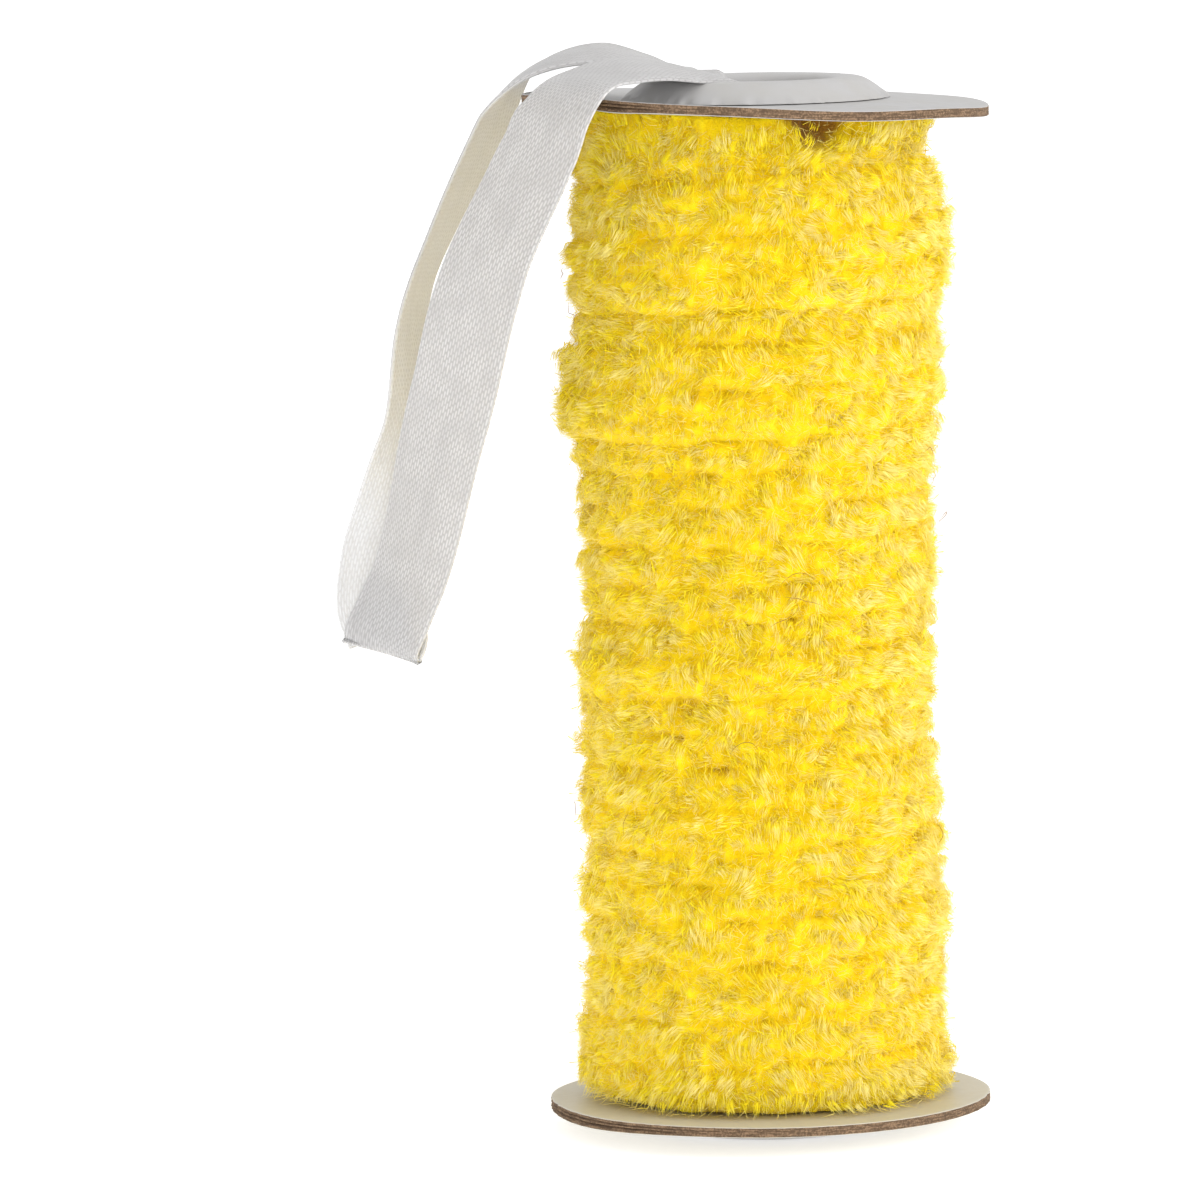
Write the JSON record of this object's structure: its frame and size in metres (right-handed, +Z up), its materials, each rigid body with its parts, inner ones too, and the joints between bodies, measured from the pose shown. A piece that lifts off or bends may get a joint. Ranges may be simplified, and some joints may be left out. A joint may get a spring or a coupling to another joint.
{
  "type": "wired yarn trim on a card spool",
  "caption": "Fluffy plush yarn trim wound in one layer on a card spool with two round card ends and a satin ribbon hanging loop.",
  "frame": {"origin": "on the floor under the lower collar's rest face, at the middle of the whole part's footprint, hanging loop included", "axes": "+Z up along the spool, +X to the right, -Y towards the viewer; the spool's axis is parallel to Z at x = 10.2 mm, y = 0"},
  "size_m": [0.0672, 0.0468, 0.1101],
  "materials": {
    "collar_paper": "glossy white coated paper, brown card core",
    "disc_card": "white paper faces on grey-brown card",
    "plush_yarn": "soft plush pile",
    "satin_ribbon": "single-face satin"
  },
  "bodies": {
    "root": {"core_tube": "collar_paper", "disc_bottom": "disc_card", "disc_top": "disc_card", "yarn_winding": "plush_yarn", "ribbon_loop": "satin_ribbon"}
  },
  "joints": []
}
